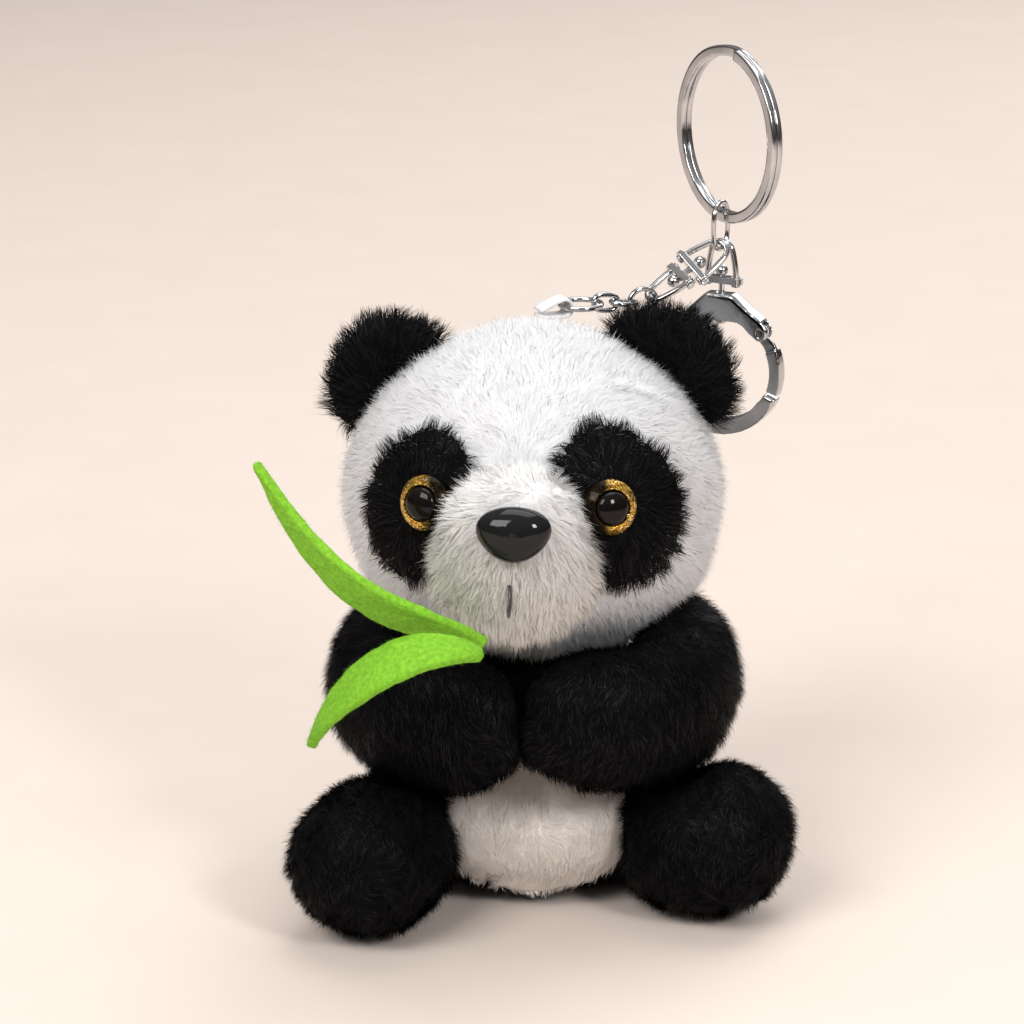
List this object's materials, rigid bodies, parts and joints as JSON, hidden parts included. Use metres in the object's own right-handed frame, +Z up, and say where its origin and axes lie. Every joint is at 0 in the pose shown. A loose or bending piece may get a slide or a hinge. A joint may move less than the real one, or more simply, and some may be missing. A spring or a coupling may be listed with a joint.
{
  "type": "plush keychain",
  "caption": "Sewn plush panda holding two felt leaves, with a chain, a swivel, a split key ring and a round lobster clasp on its head.",
  "frame": {"origin": "middle of the flat seat under the panda", "axes": "+Z up, the face looks along -Y, the leaves are on the -X side"},
  "size_m": [0.0822, 0.0821, 0.1291],
  "materials": {
    "white_plush": "white short-pile plush",
    "cream_plush": "cream short-pile plush",
    "black_plush": "black short-pile plush",
    "fibre_filling": "loose white polyester fibre",
    "green_felt": "lime green felt, fuzzy cut edges",
    "white_ribbon": "white woven ribbon",
    "gloss_black": "polished black plastic",
    "gold_glitter": "gold glitter under clear lacquer",
    "dark_thread": "dark grey stitched thread",
    "clear_nylon": "clear moulded nylon",
    "chrome": "polished bright plating",
    "spring_steel": "drawn steel wire"
  },
  "bodies": {
    "plush": {"arm_left_viewer": "black_plush", "arm_right_viewer": "black_plush", "belly_panel": "cream_plush", "body_filling": "fibre_filling", "body_skin": "black_plush", "ear_left_viewer": "black_plush", "ear_right_viewer": "black_plush", "eye_left_viewer": "gloss_black", "eye_patch_left_viewer": "black_plush", "eye_patch_right_viewer": "black_plush", "eye_right_viewer": "gloss_black", "eye_washer_left_viewer": "clear_nylon", "eye_washer_right_viewer": "clear_nylon", "glitter_ring_left_viewer": "gold_glitter", "glitter_ring_right_viewer": "gold_glitter", "hang_ribbon": "white_ribbon", "head_filling": "fibre_filling", "head_skin": "white_plush", "leaf_lower": "green_felt", "leaf_upper": "green_felt", "leg_left_viewer": "black_plush", "leg_right_viewer": "black_plush", "mouth_stitch": "dark_thread", "muzzle": "white_plush", "nose": "gloss_black", "nose_washer": "clear_nylon"},
    "jump_ring": {"jump_ring": "chrome"},
    "chain_link_1": {"chain_link_1": "chrome"},
    "chain_link_2": {"chain_link_2": "chrome"},
    "chain_link_3": {"chain_link_3": "chrome"},
    "swivel_lower": {"swivel_wire_lower": "chrome", "swivel_bar_lower": "chrome", "swivel_rivet": "chrome"},
    "swivel_upper": {"swivel_wire_upper": "chrome", "swivel_bar_upper": "chrome"},
    "connector": {"connector_link": "chrome"},
    "split_ring": {"split_ring": "chrome"},
    "clasp_bail": {"clasp_wire": "chrome", "clasp_bar": "chrome", "clasp_rivet": "chrome"},
    "clasp_body": {"clasp_body": "chrome", "gate_pin": "chrome", "gate_spring": "spring_steel"},
    "clasp_gate": {"clasp_gate": "chrome"}
  },
  "joints": [
    {"name": "jump_ring_swing", "type": "hinge", "parent": "plush", "child": "jump_ring", "pos_m": [0.00434, 0.00676, 0.0899], "axis": [0.3746, -0.9272, 0], "range_deg": [-2, 60]},
    {"name": "chain_link_1_swing", "type": "hinge", "parent": "jump_ring", "child": "chain_link_1", "pos_m": [0.01046, 0.00924, 0.0899], "axis": [0, 0, 1], "range_deg": [-6, 10]},
    {"name": "chain_link_2_swing", "type": "hinge", "parent": "chain_link_1", "child": "chain_link_2", "pos_m": [0.01332, 0.01039, 0.08958], "axis": [0.3746, -0.9272, 0], "range_deg": [-2, 15]},
    {"name": "chain_link_3_swing", "type": "hinge", "parent": "chain_link_2", "child": "chain_link_3", "pos_m": [0.01618, 0.01155, 0.08925], "axis": [0, 0, 1], "range_deg": [-2, 10]},
    {"name": "swivel_swing", "type": "hinge", "parent": "chain_link_3", "child": "swivel_lower", "pos_m": [0.01913, 0.01266, 0.09034], "axis": [0.3746, -0.9272, 0], "range_deg": [-2, 20]},
    {"name": "swivel_turn", "type": "hinge", "parent": "swivel_lower", "child": "swivel_upper", "pos_m": [0.0302, 0.01669, 0.09742], "axis": [0.8055, 0.2932, 0.515], "range_deg": [-10, 60]},
    {"name": "connector_swing", "type": "hinge", "parent": "swivel_upper", "child": "connector", "pos_m": [0.0302, 0.01669, 0.09742], "axis": [-0.5914, 0.3414, 0.7305], "range_deg": [-20, 4]},
    {"name": "split_ring_swing", "type": "hinge", "parent": "connector", "child": "split_ring", "pos_m": [0.02958, 0.01787, 0.10407], "axis": [-0.8704, -0.4924, 0], "range_deg": [-8, 25]},
    {"name": "clasp_swing", "type": "hinge", "parent": "connector", "child": "clasp_bail", "pos_m": [0.02993, 0.01847, 0.09637], "axis": [0.5, 0.866, 0], "range_deg": [-20, 35]},
    {"name": "clasp_turn", "type": "hinge", "parent": "clasp_bail", "child": "clasp_body", "pos_m": [0.02993, 0.01847, 0.09771], "axis": [0, 0, 1], "continuous": true},
    {"name": "clasp_gate_swing", "type": "hinge", "parent": "clasp_body", "child": "clasp_gate", "pos_m": [0.03629, 0.01551, 0.08346], "axis": [0.4226, 0.9063, 0], "range_deg": [-28, 0], "stiffness_Nm_per_rad": 0.002, "springref_deg": 20.05}
  ]
}
